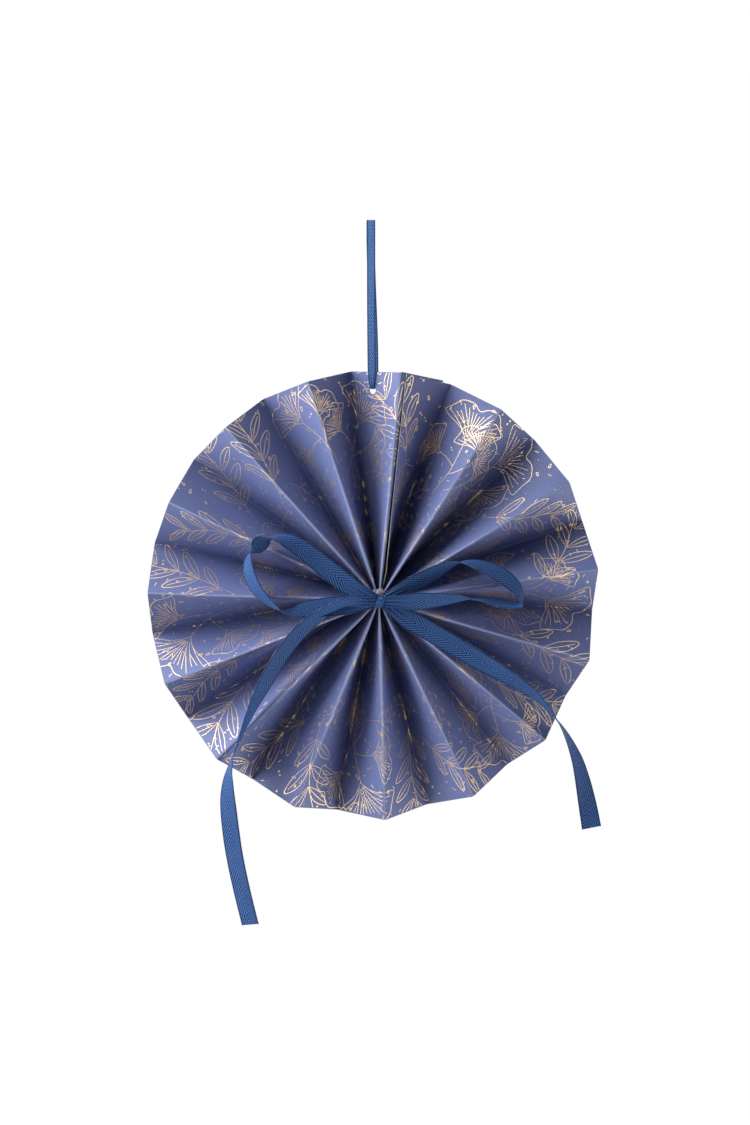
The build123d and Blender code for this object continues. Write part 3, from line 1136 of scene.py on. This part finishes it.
hanging_weave = herringbone(
    "hanging_ribbon", (0.012, 0.038, 0.150, 1), (0.230, 0.450, 0.970, 1), hanging_ribbon_width, 0.0009
)


def pinched_width(point):
    spread = min((point - hole_centre).length / pinch_length, 1)
    return pinched_ribbon_width + (hanging_ribbon_width - pinched_ribbon_width) * spread


hanging_points = [(hole_centre + Vector(point), Vector((1, 0, 0))) for point in hanging_route]
rows, middle = ribbon_rows(hanging_points, pinched_width, 10)
hanger, hanger_length = ribbon_piece(
    "hanging_loop", rows, middle, hanging_ribbon_thickness, hanging_weave
)
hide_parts("hanging_ribbon")
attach(hanger, "root")

# Stage
# White surroundings, a pale floor well below the hanging fan, and wide soft lamps set well round to
# its sides, strongest at the upper left, so that the light rakes over the pleats.
floor_radius, floor_level = 0.9, -1.3
floor = new_piece("floor")
bm = bmesh.new()
bmesh.ops.create_circle(bm, cap_ends=True, segments=96, radius=floor_radius)
bmesh.ops.translate(bm, verts=bm.verts, vec=(0, 0, floor_level))
bm.to_mesh(floor.data)
bm.free()
pale, _, _ = new_finish("pale_floor", Base_Color=(0.85, 0.85, 0.85, 1), Roughness=0.9)
floor.data.materials.append(pale)

world = bpy.data.worlds.new("studio")
bpy.context.scene.world = world
world.use_nodes = True
surroundings = world.node_tree.nodes["Background"]
surroundings.inputs["Color"].default_value = (1, 1, 1, 1)
ray = world.node_tree.nodes.new("ShaderNodeLightPath")
seen = Field(world.node_tree, ray.outputs["Is Camera Ray"])
for kind in ("Is Glossy Ray", "Is Transmission Ray"):
    seen = at_least(seen, Field(world.node_tree, ray.outputs[kind]))
feed(world.node_tree, surroundings.inputs["Strength"], seen)

# Each lamp: degrees off the way to the viewer, degrees round that way from the right, and watts.
lamp_distance, lamp_size = 1.1, 1.0
lamps = {
    "left_light": (78, 165, 11.0),
    "upper_left_light": (76, 130, 12.0),
    "lower_left_light": (72, 212, 5.0),
    "right_light": (74, 0, 3.5),
    "lower_right_light": (78, 315, 7.5),
    "back_light": (145, 100, 8.0),
}
for lamp_name, (off, around, watts) in lamps.items():
    off, around = radians(off), radians(around)
    way = Vector((sin(off) * cos(around), -cos(off), sin(off) * sin(around)))
    lamp = bpy.data.lights.new(lamp_name, "AREA")
    lamp.shape = "DISK"
    lamp.size = lamp_size
    lamp.energy = watts
    holder = bpy.data.objects.new(lamp_name, lamp)
    holder.location = way * lamp_distance
    holder.rotation_euler = (-way).to_track_quat("-Z", "Y").to_euler()
    bpy.context.scene.collection.objects.link(holder)

camera_yaw, camera_elevation = 0.071, 0.116
camera_distance = 1.01887
camera_aim = Vector((0.000535, 0, 0.01661))
view_way = Vector(
    (
        sin(camera_yaw) * cos(camera_elevation),
        cos(camera_yaw) * cos(camera_elevation),
        -sin(camera_elevation),
    )
)
camera = bpy.data.cameras.new("camera")
camera.lens = 66.66
camera.sensor_width = 36
camera_holder = bpy.data.objects.new("camera", camera)
camera_holder.location = camera_aim - view_way * camera_distance
camera_holder.rotation_euler = view_way.to_track_quat("-Z", "Y").to_euler()
bpy.context.scene.collection.objects.link(camera_holder)
bpy.context.scene.camera = camera_holder

bpy.context.scene.view_settings.view_transform = "Standard"
